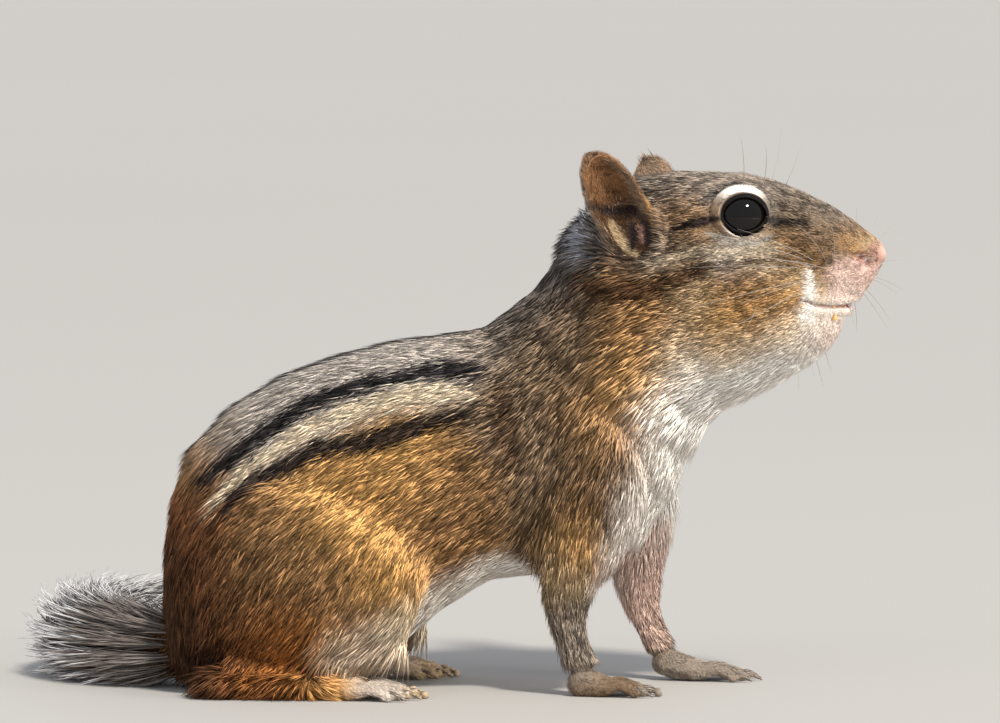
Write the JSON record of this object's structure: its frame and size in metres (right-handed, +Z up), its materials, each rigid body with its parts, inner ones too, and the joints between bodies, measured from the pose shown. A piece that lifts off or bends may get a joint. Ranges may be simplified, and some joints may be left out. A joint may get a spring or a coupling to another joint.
{
  "type": "eastern chipmunk model",
  "caption": "Life-size still model of a striped ground squirrel sitting on its haunches, forelegs straight, head raised, bushy tail curled on the floor.",
  "frame": {"origin": "on the floor, under the middle of the whole animal's box", "axes": "+X the way the animal faces, +Y its left side, +Z up"},
  "size_m": [0.1264, 0.0856, 0.0789],
  "materials": {
    "fur_body": "short dense striped fur",
    "fur_tail": "long frosted hair",
    "ear_skin": "thin skin with very short hair",
    "bare_skin": "bare pink skin",
    "eye": "wet gloss",
    "tooth": "orange enamel",
    "whisker": "fine stiff hair",
    "claw": "dark horn"
  },
  "bodies": {
    "root": {"torso": "fur_body", "neck": "fur_body", "head": "fur_body", "incisors": "tooth", "ear_left": "ear_skin", "ear_right": "ear_skin", "whiskers_left": "whisker", "whiskers_right": "whisker", "eye_left": "eye", "eye_right": "eye", "hindleg_left": "fur_body", "hindleg_right": "fur_body", "hindfoot_left": "bare_skin", "hindfoot_right": "bare_skin", "foreleg_left": "fur_body", "foreleg_right": "fur_body", "forepaw_left": "bare_skin", "forepaw_right": "bare_skin", "tail_base": "fur_tail", "tail_middle": "fur_tail", "tail_tip": "fur_tail"}
  },
  "joints": []
}
